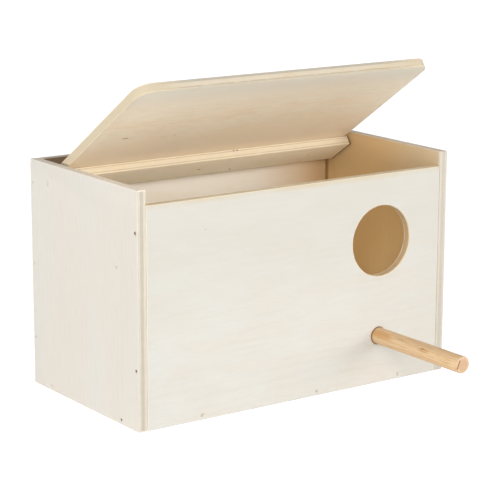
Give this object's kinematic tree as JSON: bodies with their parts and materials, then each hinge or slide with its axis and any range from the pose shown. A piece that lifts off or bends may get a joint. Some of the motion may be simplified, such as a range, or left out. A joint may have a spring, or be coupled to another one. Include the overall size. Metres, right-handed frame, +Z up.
{
  "type": "bird nest box",
  "caption": "Pale plywood nest box for budgies: a rectangular box with a lid that swings up on side pins, a round entrance hole and a round dowel perch.",
  "frame": {"origin": "centre of the box's underside", "axes": "+X to the right as seen from the front, -Y out of the front with the entrance hole and perch, +Z up"},
  "size_m": [0.21, 0.1854, 0.1836],
  "materials": {
    "outer_plywood": "sanded bare pale plywood, fine level grain",
    "floor_plywood": "sanded bare plywood",
    "lid_plywood": "sanded bare plywood, warmer underneath, plies showing at the edge",
    "batten_plywood": "sawn bare plywood strip, plies showing at the edge",
    "dowel": "smooth bare softwood dowel with end grain",
    "nail_steel": "dull wire nail",
    "hinge_pin_steel": "dull round-headed pin"
  },
  "bodies": {
    "box": {"left_side_panel": "outer_plywood", "right_side_panel": "outer_plywood", "front_panel": "outer_plywood", "back_panel": "outer_plywood", "floor_panel": "floor_plywood", "perch": "dowel", "left_hinge_pin": "hinge_pin_steel", "right_hinge_pin": "hinge_pin_steel", "left_front_nail_1": "nail_steel", "left_front_nail_2": "nail_steel", "left_back_nail_1": "nail_steel", "left_back_nail_2": "nail_steel", "left_back_nail_3": "nail_steel", "left_floor_nail_1": "nail_steel", "left_floor_nail_2": "nail_steel", "right_front_nail_1": "nail_steel", "right_front_nail_2": "nail_steel", "right_back_nail_1": "nail_steel", "right_back_nail_2": "nail_steel", "right_back_nail_3": "nail_steel", "right_floor_nail_1": "nail_steel", "right_floor_nail_2": "nail_steel", "front_floor_nail_1": "nail_steel", "front_floor_nail_2": "nail_steel", "front_floor_nail_3": "nail_steel", "back_floor_nail_1": "nail_steel", "back_floor_nail_2": "nail_steel", "back_floor_nail_3": "nail_steel"},
    "lid": {"lid_panel": "lid_plywood", "lid_batten": "batten_plywood", "batten_nail_1": "nail_steel", "batten_nail_2": "nail_steel", "batten_nail_3": "nail_steel", "batten_nail_4": "nail_steel"}
  },
  "joints": [
    {"name": "lid_hinge", "type": "hinge", "parent": "box", "child": "lid", "pos_m": [0, 0.03681, 0.1193], "axis": [-1, 0, 0], "range_deg": [-33.5, 81.5]}
  ]
}
